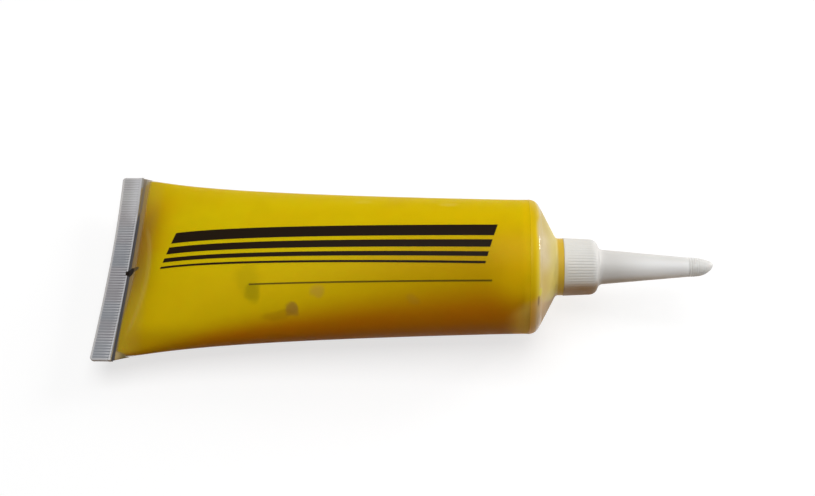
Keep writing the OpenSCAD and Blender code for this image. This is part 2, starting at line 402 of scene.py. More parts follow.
sealBand = {
    "ribs": 70, "ribSteps": 6, "ribDepth": 0.11, "thick": 1.0, "corner": 0.9, "cornerReach": 2.0,
    "rows": (0.0, 0.06, 0.2, 0.35, 0.5, 0.65, 1.6, 2.6, 3.6, 4.5, 4.7, 4.85, 5.0, 5.15, 5.3, 5.5, 5.9),
    "edgeDrops": (0.16, 0.06),  # the first rows round the tail's edge
    "ribbed": (0.4, 4.8), "beadPlace": 5.15, "beadHalf": 0.3, "bead": 0.14,
    "beadEnd": 17.0, "beadFade": 3.0,  # the bead fades out near the far corner
    "patchStretch": (0.2, 1, 1),
    # painted shade: the seal's near-side tone is darker and its far-side tone lighter, as the light falls
    "nearShadeTone": colour(155, 158, 164), "farLitTone": colour(186, 185, 184), "castTone": colour(164, 156, 158),
    # the bead tone is a painted highlight along the bead and the rib ends
    "borderTone": colour(226, 223, 221), "beadHighlight": colour(236, 236, 238),
    # painted highlights on the rib ridges, painted shade in the rib grooves
    "ridgeHighlight": colour(228, 228, 232), "grooveShade": colour(112, 112, 118),
}
printMarks = {
    "tilt": 0.028, "tiltPlace": 60, "middle": -0.6, "slant": 0.3, "edge": 0.06, "ends": (19.0, 103.0),
    "stripes": ((3.2, 1.6), (-0.5, 1.0), (-3.2, 0.6), (-5.2, 0.3)),  # place across and half width
    "linePlace": -10.9, "lineHalf": 0.14, "lineEnds": (42.0, 103.0), "lineEdge": 0.1, "lineInk": 0.85,
}
sealMark = (  # a dark mark at the seal: place, reach, limits of its edge, strength
    ((7.9, -3.2), (1.05, 1.1), (0.3, 0.6), 1.0),
    ((6.6, -2.7), (0.75, 0.7), (0.3, 0.6), 1.0),
    ((9.2, -2.95), (1.35, 0.6), (0.2, 0.7), 0.75),
    ((5.95, -2.2), (0.22, 0.22), (0.3, 0.6), 0.9),
    ((5.9, -3.1), (0.28, 0.16), (0.3, 0.6), 0.8),
)


def sleeveSections(start, depth):
    sections = swellSections(start, 1, lambda share: depth)
    for x in filmSleeve["endRings"] + (rimStart, tubeShape["length"]):
        sections.append((x, rimRadius(x) - depth, rimRadius(x) - depth))
    return sections


outerSections = sleeveSections(0, 0)
innerSections = sleeveSections(filmSleeve["cavityStart"], filmSleeve["wall"])
outerCount = len(outerSections) * tubeShape["sides"]
tubeFilm = ringTube("tubeFilm", outerSections + innerSections[::-1], tubeShape["sides"])


def drapeFilm(index, x, y, z):  # the bowed tail and the belly on the table
    depth = 0 if index < outerCount else filmSleeve["wall"]
    x = bowedPlace(x, y)
    return x, y, max(z, floorAt(x) + depth)


moveVerts(tubeFilm, drapeFilm)
closeMesh(tubeFilm)


def makeSeal():
    s, rows, steps = sealBand, sealBand["rows"], sealBand["ribs"] * sealBand["ribSteps"]
    clearSelection()
    bpy.ops.mesh.primitive_grid_add(x_subdivisions=len(rows) - 1, y_subdivisions=steps, size=1)
    seal = bpy.context.object
    seal.name = "tailSeal"
    editPiece(seal)
    bpy.ops.mesh.select_all(action="SELECT")
    bpy.ops.transform.translate(value=(0.5, 0, s["thick"] / 2 * mm))
    bpy.ops.mesh.extrude_region_move(TRANSFORM_OT_translate={"value": (0, 0, -s["thick"] * mm)})
    clearSelection()
    for vert in seal.data.vertices:
        row = round(vert.co.x * (len(rows) - 1))
        rib = round((vert.co.y + 0.5) * steps)
        x, y, lift = rows[row], tailHalf * (2 * rib / steps - 1), s["thick"] / 2
        if s["ribbed"][0] < x < s["ribbed"][1]:
            lift -= s["ribDepth"] * (0.5 + 0.5 * math.cos(2 * math.pi * rib / s["ribSteps"]))
        beadShare = min(1, max(0, (s["beadEnd"] - y) / s["beadFade"]))
        lift += beadShare * s["bead"] * max(0, 1 - ((x - s["beadPlace"]) / s["beadHalf"]) ** 2)
        if row < len(s["edgeDrops"]):
            lift -= s["edgeDrops"][row]
        over = max(0, abs(y) - tailHalf + s["corner"])
        cut = s["corner"] - math.sqrt(max(0, s["corner"] ** 2 - over ** 2))
        x += cut * max(0, 1 - x / s["cornerReach"])
        vert.co = Vector((x + tailBow(y), y, math.copysign(lift, vert.co.z))) * mm
    closeMesh(seal)
    return seal


tubeFilm = joinPieces(tubeFilm, makeSeal())
filmOut = Finish("clear film", {"IOR": 1.45, "Specular IOR Level": 0.14})
filmIn = Finish("clear film inside", {"Roughness": 0.5, "IOR": 1.2, "Specular IOR Level": 0.1})


def paintSeal(fromEdge, lowSide, tone, fine):  # grey ribbed band with paler borders; painted highlights on its ridges and rib ends, painted shade in its grooves and on its near side
    s, y, place = sealBand, filmOut.y, filmOut.place
    wave = ((y + tailHalf) * (math.pi * s["ribs"] / tailHalf)).cosine()
    ridge, groove = (0.5 - 0.5 * wave) ** 2, (0.5 + 0.5 * wave) ** 2
    ribbed = fromEdge.soft(0.4, 0.8) * fromEdge.soft(4.95, 4.8)
    uneven = place.cloud(0.16, 1, s["patchStretch"]).soft(0.4, 0.65)
    crisp = (0.3 + 0.6 * uneven) * (0.6 + 0.4 * fromEdge.soft(0.5, 4))
    patches = place.cloud(0.1, 2, s["patchStretch"]).soft(0.45, 0.6)
    border = fromEdge.soft(0.8, 0.2).larger(abs(y).soft(tailHalf - 0.8, tailHalf - 0.3) * 0.6)
    ribEnd = ridge * fromEdge.soft(3.4, 4.9) * fromEdge.soft(5.1, 5.0)
    bead = fromEdge.near(s["beadPlace"], 0.1, 0.16) * (0.7 - 0.2 * wave)
    # painted shade: the band darkens towards its near side
    seal = (y.soft(5, 22) + 0.3 * (tone - 0.5)).blend(s["nearShadeTone"], s["farLitTone"])
    return layered(seal, (
        (patches * 0.5, s["castTone"]),
        # painted shade in the rib grooves, painted highlights on the rib ridges
        (groove * ribbed * crisp * 0.4, s["grooveShade"]),
        (ridge * ribbed * crisp * (0.4 + 0.5 * fine), s["ridgeHighlight"]),
        # painted light: the far side paler towards the inner edge
        (y.soft(11, 17) * fromEdge.soft(1.5, 5) * 0.5, s["ridgeHighlight"]),
        (border * 0.8, s["borderTone"]),
        # painted highlights on the rib ends and along the bead
        (ribEnd * lowSide * 0.6, s["beadHighlight"]),
        (bead * lowSide, s["beadHighlight"]),
    ))


def paintPrint(upper):  # a plain set of stripes, thick to thin, with a fine line below
    p, x, y = printMarks, filmOut.x, filmOut.y
    across = y + p["tilt"] * (x - p["tiltPlace"]) - p["middle"]
    ends = (x - p["slant"] * across).between(*p["ends"], p["edge"])
    blur = 2 * p["edge"]
    stripes = largest([across.near(middle, half - p["edge"], blur) for middle, half in p["stripes"]])
    line = y.near(p["linePlace"], p["lineHalf"], blur) * x.between(*p["lineEnds"], p["lineEdge"])
    return (stripes * ends).larger(line * p["lineInk"]) * upper


def paintMark(upper):
    spots = []
    for place, reach, edge, strength in sealMark:
        spots.append(filmOut.x.spot(filmOut.y, place, reach).soft(*edge) * strength)
    return largest(spots) * upper


def paintFilm():
    f, y, z, place = filmSleeve, filmOut.y, filmOut.z, filmOut.place
    fromSeal = filmOut.sealDistance()
    fromEdge = fromSeal + tubeShape["sealWidth"]
    onSeal = fromSeal.soft(0.1, -0.06)
    tone, fine = place.cloud(0.08, 3), place.cloud(0.7, 3)
    nearHalf = y.soft(2, -2)
    lowSide = y.soft(16.2, 14.5)  # the seal's line is crisp on this side only
    upper = z.soft(-0.1, 0.1)

    lineHalf = 0.52 * y.soft(17, 12) - 0.2 * y.soft(-14, -26)
    shadeLine = fromSeal.near(f["shadeLine"][0], lineHalf, f["shadeLine"][1]) * (0.95 * lowSide)
    topShade = fromSeal.near(*f["topShade"]) * (1 - lowSide) * 0.5
    sideways = y - f["creaseMiddle"]
    creaseLine = fromSeal + f["creaseBend"] * sideways * sideways
    # painted highlight: a pale line on the film's bulge beside the seal, where it creases
    crease = creaseLine.near(*f["creasePlace"]) * y.near(*f["creaseSpan"]) * z.soft(0, 1)
    cornerLine = abs(y) - 0.4 * fromSeal - 0.6 * nearHalf
    corner = (fromSeal - 3 * nearHalf).soft(4.5, 0.5) * cornerLine.soft(23.5, 24.5)
    bare = fromSeal + 1.6 * y.soft(-6, -20)  # no grease reaches into this strip
    ink, mark = paintPrint(upper), paintMark(upper)
    inked = ink.larger(mark)

    nearCorner = fromSeal.soft(3.4, 1.4).blend(f["nearCorner"], f["stripColour"])
    base = layered(fromSeal.soft(*f["veilTint"]).blend(f["filmColour"], f["veilColour"]), (
        (crease * 0.9, f["creaseHighlight"]),
        (bare.soft(*f["stripTint"]), f["stripColour"]),
        (corner, nearHalf.blend(f["farCorner"], nearCorner)),
        (topShade.soft(0, 0.4), f["topShadeColour"]),
        (onSeal, paintSeal(fromEdge, lowSide, tone, fine)),
        (shadeLine, f["shadeLineColour"]),
        (inked, f["inkColour"]),
    ))
    alpha = largest((
        f["clearAlpha"] + f["hazeAlpha"] * tone.soft(0.35, 0.75),
        fromSeal.soft(*f["veilFade"]) * f["veilAlpha"],
        crease * f["creaseAlpha"],
        bare.soft(*f["stripFade"]) * f["stripAlpha"],
        corner * (f["cornerAlpha"][0] + f["cornerAlpha"][1] * nearHalf),
        topShade, shadeLine, onSeal * 0.97, ink * 0.97, mark * 0.98,
    ))
    rough = f["roughness"] + 0.14 * (fine - 0.5) + 0.08 * onSeal + 0.25 * inked
    filmOut.feed({"Base Color": base, "Alpha": alpha, "Roughness": rough,
                  "Normal": (tone + 0.1 * fine).bump(0.12, 0.4 * mm)})
    inTone = filmIn.place.cloud(0.1, 2)
    filmIn.feed({"Base Color": inTone.blend(f["filmColour"], f["innerColour"]),
                 "Alpha": 0.02 + 0.03 * inTone})


def facesInward(face):
    middle = face.center / mm
    high = halfHeight(shareAt(middle.x))
    wide = halfWidth(high)
    outward = face.normal.y * middle.y / wide ** 2 + face.normal.z * middle.z / high ** 2
    return outward < 0 and middle.x > tubeShape["sealWidth"] + filmSleeve["insideStart"]


paintFilm()
coatPiece(tubeFilm, filmOut, filmIn)
for face in tubeFilm.data.polygons:
    face.material_index = 1 if facesInward(face) else 0
finishPiece(tubeFilm, "tube", "tube_sleeve")


# grease inside the sleeve and the head
greaseFill = {
    "gap": 0.02, "headGap": 0.03, "start": 0.006, "filmEnd": 110.9,
    "corner": (2.6, 1.4), "cornerReach": (2.0, 1.6),  # near side and far side
    "foot": (0.25, 0.8, 0.5),  # the first ring's step back, step in and share of the height
    "rimSteps": 10, "coneSteps": 12, "neck": 3.35, "neckEnd": 128.4,
    "dome": ((1.2, 0.0), (0.5, 0.25), (0.1, 1.15), (0.0, 2.55)),  # back from the neck's end, inwards
    "voidPlace": 112.6, "voidTurn": 12, "voidSpread": (6.0, 30), "voidDepth": 0.5, "voidFloor": 8,
    "roughness": 0.5, "ripple": 3,
    "warmFade": (45, 105), "headFade": (99, 110), "shadeFade": (101, 111), "voidFade": (105.5, 112.5),
    "seamFade": (109.5, 111.5), "rimLightFade": (110.4, 112.2), "edgeFade": (13, 1.5),
    # the warm, head, shade and under tones are painted shade, set by which way the grease faces
    "light": colour(231, 206, 4), "deep": colour(228, 196, 3), "warm": colour(207, 163, 1),
    "shade": colour(204, 120, 1), "under": colour(172, 112, 40), "headTone": colour(232, 187, 2),
    # painted light: the seam and rim tones brighten the grease where the head's rim shades it
    "seamLight": colour(255, 208, 4), "rimSeamLight": colour(255, 205, 20), "voidTone": colour(255, 212, 98),
    "lowTailShade": colour(190, 146, 2), "warmTone": colour(228, 172, 2), "edge": colour(152, 92, 4),
    "spotsAndSheen": (  # place, reach, strength, tint; the near-side spots are darker tints, the two pale ones on the far top are painted reflections
        ((42.9, -12.6), (1.9, 2.0), 0.5, colour(136, 128, 6)),
        ((41.4, -9.4), (3.0, 3.6), 0.24, colour(150, 138, 6)),
        ((53.1, -16.9), (1.4, 1.3), 0.62, colour(138, 84, 62)),
        ((49.4, -17.7), (3.8, 0.8), 0.28, colour(150, 96, 16)),
        ((59.5, -12.8), (1.6, 1.4), 0.36, colour(184, 136, 82)),
        ((83.4, -14.6), (1.6, 0.9), 0.22, colour(178, 130, 64)),
        ((92.0, 11.2), (2.2, 1.0), 0.16, colour(236, 222, 130)),
        ((69.6, 12.8), (2.0, 0.8), 0.13, colour(236, 222, 120)),
    ),
}


def greaseDepth(share):  # below the film's outside, a little more at the head
    g = greaseFill
    return filmSleeve["wall"] + g["gap"] + (g["headGap"] - g["gap"]) * min(1, share) ** 12


def greaseSections():
    g = greaseFill
    sections = swellSections(g["start"], shareAt(g["filmEnd"]), greaseDepth)
    place, wide, high = sections[0]
    back, inward, flat = g["foot"]
    sections.insert(0, (place - back, wide - inward, high * flat))
    size = tubeShape["rim"] - filmSleeve["wall"] - g["headGap"]
    turned = arcPoints(rimStart, rimCentre, size, 0, 90 - tubeShape["slope"], g["rimSteps"])
    place, radius = turned[-1]
    cone = (place + (radius - g["neck"]) * slopeRise, g["neck"])
    turned += linePoints(turned[-1], cone, g["coneSteps"])[1:]
    turned += [(g["neckEnd"] - back, g["neck"] - inward) for back, inward in g["dome"]]
    return sections + [(x, r, r) for x, r in turned]


def drapeGrease(index, x, y, z):  # drawn in at the tail's corners and at the void in the head
    g = greaseFill
    side = 0 if y < 0 else 1
    first = tubeShape["sealWidth"] + g["start"] * swellLength
    narrow = g["corner"][side] * math.exp(-max(0, x - first) / g["cornerReach"][side])
    y *= 1 - narrow / tailHalf
    turn = math.degrees(math.atan2(z, -y))
    along = (x - g["voidPlace"]) / g["voidSpread"][0]
    around = (turn - g["voidTurn"]) / g["voidSpread"][1]
    away, radius = along ** 2 + around ** 2, math.hypot(y, z)
    if away < 1 and radius > g["voidFloor"]:
        pull = 1 - g["voidDepth"] * (1 - away) ** 2 / radius
        y, z = y * pull, z * pull
    x = bowedPlace(x, y)
    return x, y, max(z, floorAt(x) + filmSleeve["wall"] + g["gap"])


greaseBody = ringTube("greaseFill", greaseSections(), tubeShape["sides"])
moveVerts(greaseBody, drapeGrease)
closeMesh(greaseBody)
greasePaint = Finish("yellow grease", {
    "IOR": 1.45, "Specular IOR Level": 0.05, "Subsurface Weight": 0.25,
    "Subsurface Radius": (1.0, 0.4, 0.03), "Subsurface Scale": 3 * mm})


def paintGrease():
    g, x, y, z, place = greaseFill, greasePaint.x, greasePaint.y, greasePaint.z, greasePaint.place
    turn, down, fromSeal = greasePaint.turnAround(), greasePaint.downward(), greasePaint.sealDistance()
    broad, fine = place.cloud(0.035, 3, (0.6, 1, 1)), place.cloud(0.4, 4)
    slant = turn - 2.2 * (x - 114)
    empty = x.soft(*g["voidFade"]) * slant.soft(42, 27) * turn.soft(38, 30) * turn.soft(-60, -40)
    # painted shade: the low near side by the tail is darker
    lowTail = y.soft(-18, -23.5) * x.soft(35, 19) * x.soft(6, 14)
    warmTail = x.soft(24, 12) * y.soft(-4, 3) * y.soft(23, 14)
    # near the seal the grease is darker amber, partly from thin grease and partly painted shade on its
    # steep slope
    thinning = 0.3 - 0.16 * y.soft(10, 20) + 0.5 * y.near(2, 4, 13)
    base = layered(broad.soft(0.3, 0.7).blend(g["light"], g["deep"]), (
        # painted shade: the warm, head, shade and under layers darken and warm the grease by which way it
        # faces
        (down.soft(-0.85, -0.25) * x.soft(*g["warmFade"]), g["warm"]),
        (down.soft(-0.9, -0.4) * x.soft(*g["headFade"]), g["headTone"]),
        # painted light: brightens the grease beside the head's seam, where the rim shades it
        (down.soft(0.4, -0.2) * x.soft(*g["seamFade"]) * 0.6, g["seamLight"]),
        ((down - 0.22 * x.soft(*g["shadeFade"])).soft(-0.1, 0.5), g["shade"]),
        (down.soft(0.55, 0.95), g["under"]),
        # painted light: brightens the shaded grease just below the rim
        (x.soft(*g["rimLightFade"]) * down.near(0.3, 0.1, 0.2) * 0.8, g["rimSeamLight"]),
        (empty * 0.9, g["voidTone"]),
        # painted shade on the low near side by the tail
        (lowTail * 0.8, g["lowTailShade"]),
        (warmTail * 0.55, g["warmTone"]),
        # darker amber near the seal: thin grease and painted shade
        (fromSeal.soft(*g["edgeFade"]) * thinning, g["edge"]),
    ))
    onTop = z.soft(0, 1)
    waveX = x + g["ripple"] * (place.cloud(0.3, 2) - 0.5)
    waveY = y + g["ripple"] * (place.cloud(0.22, 2) - 0.5)
    # darker tinted spots, and painted reflections on the far top
    for where, reach, strength, tint in g["spotsAndSheen"]:
        base = (waveX.spot(waveY, where, reach) * onTop * strength).blend(base, tint)
    greasePaint.feed({"Base Color": base, "Roughness": g["roughness"] + 0.16 * (fine - 0.5),
                      "Normal": (broad + 0.08 * fine).bump(0.2, 0.6 * mm)})


paintGrease()
coatPiece(greaseBody, greasePaint)
finishPiece(greaseBody, "tube", "grease_fill")


# moulded head with its threaded neck
headShape = {
    "skirtStart": 110.2, "skirtRings": (111.3, 112.0), "skirtGap": 0.006, "thin": 0.05,
    "rimSteps": 14, "coneSteps": 10, "steps": 144, "edge": 0.06,
    "ringPlace": 119.373, "ringRadius": 7.4, "ringLength": 2.045,
    "ringFillet": ((-0.25, 0.85), (0.05, 0.36), (0.35, 0.1), (0.7, 0.0)),  # along and out from the ring
    "neckRadius": 5.2, "neckFillet": 0.2, "neckBore": 3.5, "neckEnd": 128.673,
    "threadStart": 122.573, "threadTurns": 1.5, "threadFoot": (5.1, 0.8), "threadTop": (5.9, 0.345),
    "voidPlace": 114.6, "voidTurn": 35.5, "voidRise": 1.6, "voidFall": 7.2,
    "borderPlace": 114.65, "shine": (114.85, 0.4, 0.3), "shineDepth": 0.32,
    "wallFade": (112.44, 112.5), "filmFade": (112.95, 112.6), "rimFade": (113.4, 114.6),
    "farFade": (112.5, 113.8), "voidFade": (113.0, 114.8), "footFade": (116.0, 118.8),
    "ringFade": (119.45, 120.1), "neckFade": (121.3, 121.45), "edgeLine": (114.5, 0.08, 0.25),
    "borderOut": (122, 8, 14), "borderIn": (98, 5, 12),  # arcs: middle, half and soft edge, in degrees
    "rimArc": (122, 12, 22), "nearArc": (42, 6, 26), "farArc": (120, 12, 36), "edgeArc": (122, 10, 22),
    # drop: place and reach of a painted highlight, a yellow glint on the rim
    "topArc": (95, 20, 45), "drop": ((114.95, 40), (0.4, 3.5)),
    "rimTone": colour(230, 192, 3), "rimPale": colour(236, 208, 60), "rimFar": colour(208, 174, 3),
    "rimShade": colour(208, 122, 1), "voidTone": colour(236, 180, 72), "voidPale": colour(226, 190, 122),
    "shoulder": colour(228, 210, 168), "shoulderDeep": colour(220, 199, 153),
    "shoulderNear": colour(222, 194, 112), "shoulderFar": colour(214, 192, 126),
    "shoulderEdge": colour(204, 180, 88), "shoulderVoid": colour(216, 178, 126),
    "foot": colour(242, 220, 116), "footTop": colour(222, 205, 130), "ringTone": colour(222, 184, 60),
    "glintTone": colour(236, 226, 30), "edgeTone": colour(110, 76, 36), "filmEdgeLight": colour(255, 216, 8),
    "neckTone": colour(232, 222, 186),
}
neckFoot = headShape["ringPlace"] + headShape["ringLength"]
threadShape = {"pitch": 3.0, "stepsPerTurn": 60, "fadeSteps": 10}


def threadRidge(name, shape, phase):  # helical ridge; foot and top are (radius, half width)
    start, turns = shape["threadStart"], shape["threadTurns"]
    foot, top = shape["threadFoot"], shape["threadTop"]
    clearSelection()
    bpy.ops.mesh.primitive_plane_add(size=mm)
    ridge = bpy.context.object
    ridge.name = name
    corners = ((-foot[1], foot[0]), (foot[1], foot[0]), (-top[1], top[0]), (top[1], top[0]))
    turn = math.radians(phase + 360 * (start - neckFoot) / threadShape["pitch"])
    count = round(threadShape["stepsPerTurn"] * turns)

    def standCorner(index, x, y, z):
        along, radius = corners[index]
        return start + along, radius * math.cos(turn), radius * math.sin(turn)

    def fadeEnds(index, x, y, z):
        step, radius = index // 4, math.hypot(y, z)
        height = min(1, min(step, count - step) / threadShape["fadeSteps"]) if index % 4 > 1 else 1
        share = (foot[0] + (radius - foot[0]) * height) / radius
        return x, y * share, z * share

    moveVerts(ridge, standCorner)
    applyModifier(ridge, "SCREW", {"axis": "X", "angle": 2 * math.pi * turns,
                                   "screw_offset": threadShape["pitch"] * turns * mm,
                                   "steps": count, "render_steps": count})
    moveVerts(ridge, fadeEnds)
    last = len(ridge.data.vertices) - 4
    editPiece(ridge)
    for low in (0, last):
        pickVerts(ridge, lambda vert: low <= vert.index < low + 4)
        bpy.ops.mesh.edge_face_add()
    closeMesh(ridge)
    return ridge


def headOutline():
    h, slope = headShape, 90 - tubeShape["slope"]
    weld = math.degrees(math.asin((tubeShape["length"] - rimStart) / tubeShape["rim"]))
    rim = arcPoints(rimStart, rimCentre, tubeShape["rim"], weld, slope, h["rimSteps"])
    inside = arcPoints(rimStart, rimCentre, tubeShape["rim"] - h["thin"], slope, 0, h["rimSteps"])
    bore = inside[0][0] + (inside[0][1] - h["neckBore"]) * slopeRise
    fillet = [(h["ringPlace"] + along, h["ringRadius"] + out) for along, out in h["ringFillet"]]
    edge, ring, neck, end = h["edge"], h["ringRadius"], h["neckRadius"], h["neckEnd"]
    outline = [(h["skirtStart"], inside[-1][1])]
    for x in (h["skirtStart"],) + h["skirtRings"] + (rimStart, tubeShape["length"]):
        outline.append((x, rimRadius(x) - filmSleeve["wall"] - h["skirtGap"]))
    outline += rim + linePoints(rim[-1], fillet[0], h["coneSteps"])[1:] + fillet[1:]
    outline += [(neckFoot - edge, ring), (neckFoot - edge / 3, ring - edge / 3), (neckFoot, ring - edge)]
    outline += [(neckFoot, neck + h["neckFillet"]), (neckFoot + h["neckFillet"], neck)]
    outline += [(end - edge, neck), (end, neck - edge), (end, h["neckBore"]), (bore, h["neckBore"])]
    return outline + inside


tubeHead = turnedPiece("tubeHead", headOutline(), headShape["steps"])
tubeHead = joinPieces(tubeHead, threadRidge("neckThread", headShape, 0))
headPaint = Finish("clear head", {"IOR": 1.46, "Specular IOR Level": 0.2})


def paintHead():
    h, x, turn, place = headShape, headPaint.x, headPaint.turnAround(), headPaint.place
    tone, streak = place.cloud(0.12, 3), place.cloud(0.25, 3, (0.3, 1, 1))
    rise = x - h["voidPlace"]
    limit = h["voidTurn"] + h["voidRise"] * rise.smaller(0) - h["voidFall"] * rise.larger(0)
    empty = (turn - limit).soft(4, -5) * turn.soft(-60, -45)  # no grease touches the wall there
    border = h["borderPlace"] + 0.35 * turn.near(*h["borderOut"]) - 0.4 * turn.near(*h["borderIn"])
    cone = (x - border).soft(-0.5 - 0.5 * empty, 0.45 + 0.1 * empty)  # beyond the rim's grease
    edgeLine = x.near(*h["edgeLine"]) * turn.soft(38, 35) * turn.soft(24, 31)
    neck = x.soft(*h["neckFade"])

    rim = layered(x.soft(*h["rimFade"]).blend(h["rimTone"], h["rimPale"]), (
        # painted shade: the rim darker on its far top side
        (turn.near(*h["rimArc"]) * x.soft(*h["farFade"]) * 0.7, h["rimFar"]),
        ((headPaint.downward() - 0.3).soft(-0.2, 0.5), h["rimShade"]),
        (empty, x.soft(*h["voidFade"]).blend(h["voidTone"], h["voidPale"])),
    ))
    shoulder = layered(streak.soft(0.35, 0.65).blend(h["shoulder"], h["shoulderDeep"]), (
        (turn.near(*h["nearArc"]), h["shoulderNear"]),
        # painted shade: the shoulder darker on its far top side and along its top edge
        (turn.near(*h["farArc"]) * 0.6, h["shoulderFar"]),
        (turn.near(*h["edgeArc"]) * 0.7, h["shoulderEdge"]),
    ))
    base = layered(rim, (
        (cone, shoulder),
        # painted shade: the foot's pale yellow is darker on its top side
        (x.soft(*h["footFade"]), turn.near(*h["topArc"]).blend(h["foot"], h["footTop"])),
        (cone * empty * 0.85, h["shoulderVoid"]),
        (x.soft(*h["ringFade"]), h["ringTone"]),
        # painted highlight: a small yellow glint on the rim
        (x.spot(turn, *h["drop"]) * 0.6, h["glintTone"]),
        (edgeLine * 0.6, h["edgeTone"]),
        (x.soft(*h["filmFade"]) * 0.26, h["filmEdgeLight"]),  # painted light: a bright edge beside the film, brightening its contact shadow
        (neck, h["neckTone"]),
    ))
    wall = x.soft(*h["wallFade"]) * 0.92
    alpha = largest((wall, cone * (0.88 + 0.1 * (streak - 0.5)), edgeLine * 0.6)) - neck * 0.25
    rough = 0.4 + 0.06 * tone - h["shineDepth"] * x.near(*h["shine"])
    headPaint.feed({"Base Color": base, "Alpha": alpha, "Roughness": rough,
                    "Normal": tone.bump(0.08, 0.3 * mm)})


paintHead()
coatPiece(tubeHead, headPaint)
finishPiece(tubeHead, "tube", "tube_head", 30)


# white nozzle
mouldedPlastic = {"IOR": 1.46, "Specular IOR Level": 0.35, "Subsurface Weight": 0.1,
                  "Subsurface Radius": (1, 0.9, 0.8), "Subsurface Scale": 1 * mm}
nozzleShape = {
    "mouth": 121.43, "collarRadius": 7.5, "draft": 2.5, "collarEnd": 130.373, "round": 2.2,
    "coneFillet": 1.6, "coneRadius": 4.45, "coneLead": (0.6, 0.05), "tipRadius": 2.5,
    "tipEdge": (0.12, 0.06), "tipLead": 0.005,
    "capPlace": 153.473, "spigotRadius": 1.75, "spigotEnd": 156.473, "outlet": 1.1, "bore": 2.9,
    "socketRadius": 6.2, "socketEnd": 128.973, "edge": 0.08,
    "band": 0.7, "bandEdge": 0.12, "ribLead": 0.25, "ribStart": 0.1, "ribFade": 1.2,
    "ribs": 60, "ribSteps": 6, "ribDepth": 0.08,
    "edgeSteps": 3, "collarSteps": 6, "roundSteps": 9, "filletSteps": 7, "coneSteps": 14,
    "threadStart": 122.9, "threadTurns": 1.5, "threadFoot": (6.3, 0.9), "threadTop": (5.5, 0.45),
    "white": colour(232, 231, 228), "whiteDeep": colour(226, 224, 219),
    # the cone's foot tone is painted shade and its tip tone painted light; the collar's brown and the
    # low-side tone are painted shade on the near, lower side
    "coneFootShade": colour(216, 213, 210), "coneTipLight": colour(252, 251, 250),
    "collarShade": colour(168, 134, 92), "lowSide": colour(190, 176, 156),
    "footFade": (128.6, 130.4), "footEnd": (146, 133), "tipFade": (133, 147), "collarShadeFade": (131, 129.5),
    "lowFade": (129.5, 132), "lowEnd": (134, 150), "underTurn": (-100, -60),
}


def nozzleOutline():
    n = nozzleShape
    mouth, collar, edge = n["mouth"], n["collarRadius"], n["edge"]
    roundStart, drop = n["collarEnd"] - n["round"], math.tan(math.radians(n["draft"]))
    topRadius = collar - (roundStart - mouth) * drop
    bandEnd, bandRadius = mouth + n["band"], collar - n["band"] * drop
    bend = n["round"] + n["coneFillet"]  # the shoulder is one s-curve into the cone
    fall = math.degrees(math.acos(1 - (topRadius - n["coneRadius"]) / bend))
    coneStart = roundStart + bend * math.sin(math.radians(fall))
    outline = [(mouth, n["socketRadius"]), (mouth, collar - edge)]
    outline += arcPoints(mouth + edge, collar - edge, edge, -60, 0, n["edgeSteps"])
    outline += [(bandEnd - n["bandEdge"], bandRadius), (bandEnd, bandRadius)]
    outline += linePoints((bandEnd + n["ribLead"], bandRadius - n["ribLead"] * drop),
                          (roundStart, topRadius), n["collarSteps"])
    outline += arcPoints(roundStart, topRadius - n["round"], n["round"], 0, fall, n["roundSteps"])[1:]
    outline += arcPoints(coneStart, n["coneRadius"] + n["coneFillet"], n["coneFillet"],
                         180 + fall, 180, n["filletSteps"])
    outline += linePoints((coneStart + n["coneLead"][0], n["coneRadius"] - n["coneLead"][1]),
                          (n["capPlace"] - n["tipEdge"][0], n["tipRadius"] + n["tipLead"]), n["coneSteps"])
    outline += [(n["capPlace"], n["tipRadius"] - n["tipEdge"][1]), (n["capPlace"], n["spigotRadius"])]
    outline += [(n["spigotEnd"] - edge, n["spigotRadius"]), (n["spigotEnd"], n["spigotRadius"] - edge)]
    outline += [(n["spigotEnd"], n["outlet"]), (n["socketEnd"], n["bore"])]
    return outline + [(n["socketEnd"], n["socketRadius"])]


def ribCollar(index, x, y, z):
    n = nozzleShape
    start, end = n["mouth"] + n["band"] + n["ribStart"], n["collarEnd"] - n["ribLead"]
    radius = math.hypot(y, z)
    if start < x < end and radius > n["socketRadius"] + n["ribStart"]:
        wave = 0.5 + 0.5 * math.cos(n["ribs"] * math.atan2(z, y))
        pull = 1 - n["ribDepth"] * min(1, (end - x) / n["ribFade"]) * wave / radius
        y, z = y * pull, z * pull
    return x, y, z


nozzlePiece = turnedPiece("screwNozzle", nozzleOutline(), nozzleShape["ribs"] * nozzleShape["ribSteps"])
moveVerts(nozzlePiece, ribCollar)
nozzlePiece = joinPieces(nozzlePiece, threadRidge("collarThread", nozzleShape, 180))
whitePaint = Finish("white plastic", mouldedPlastic)


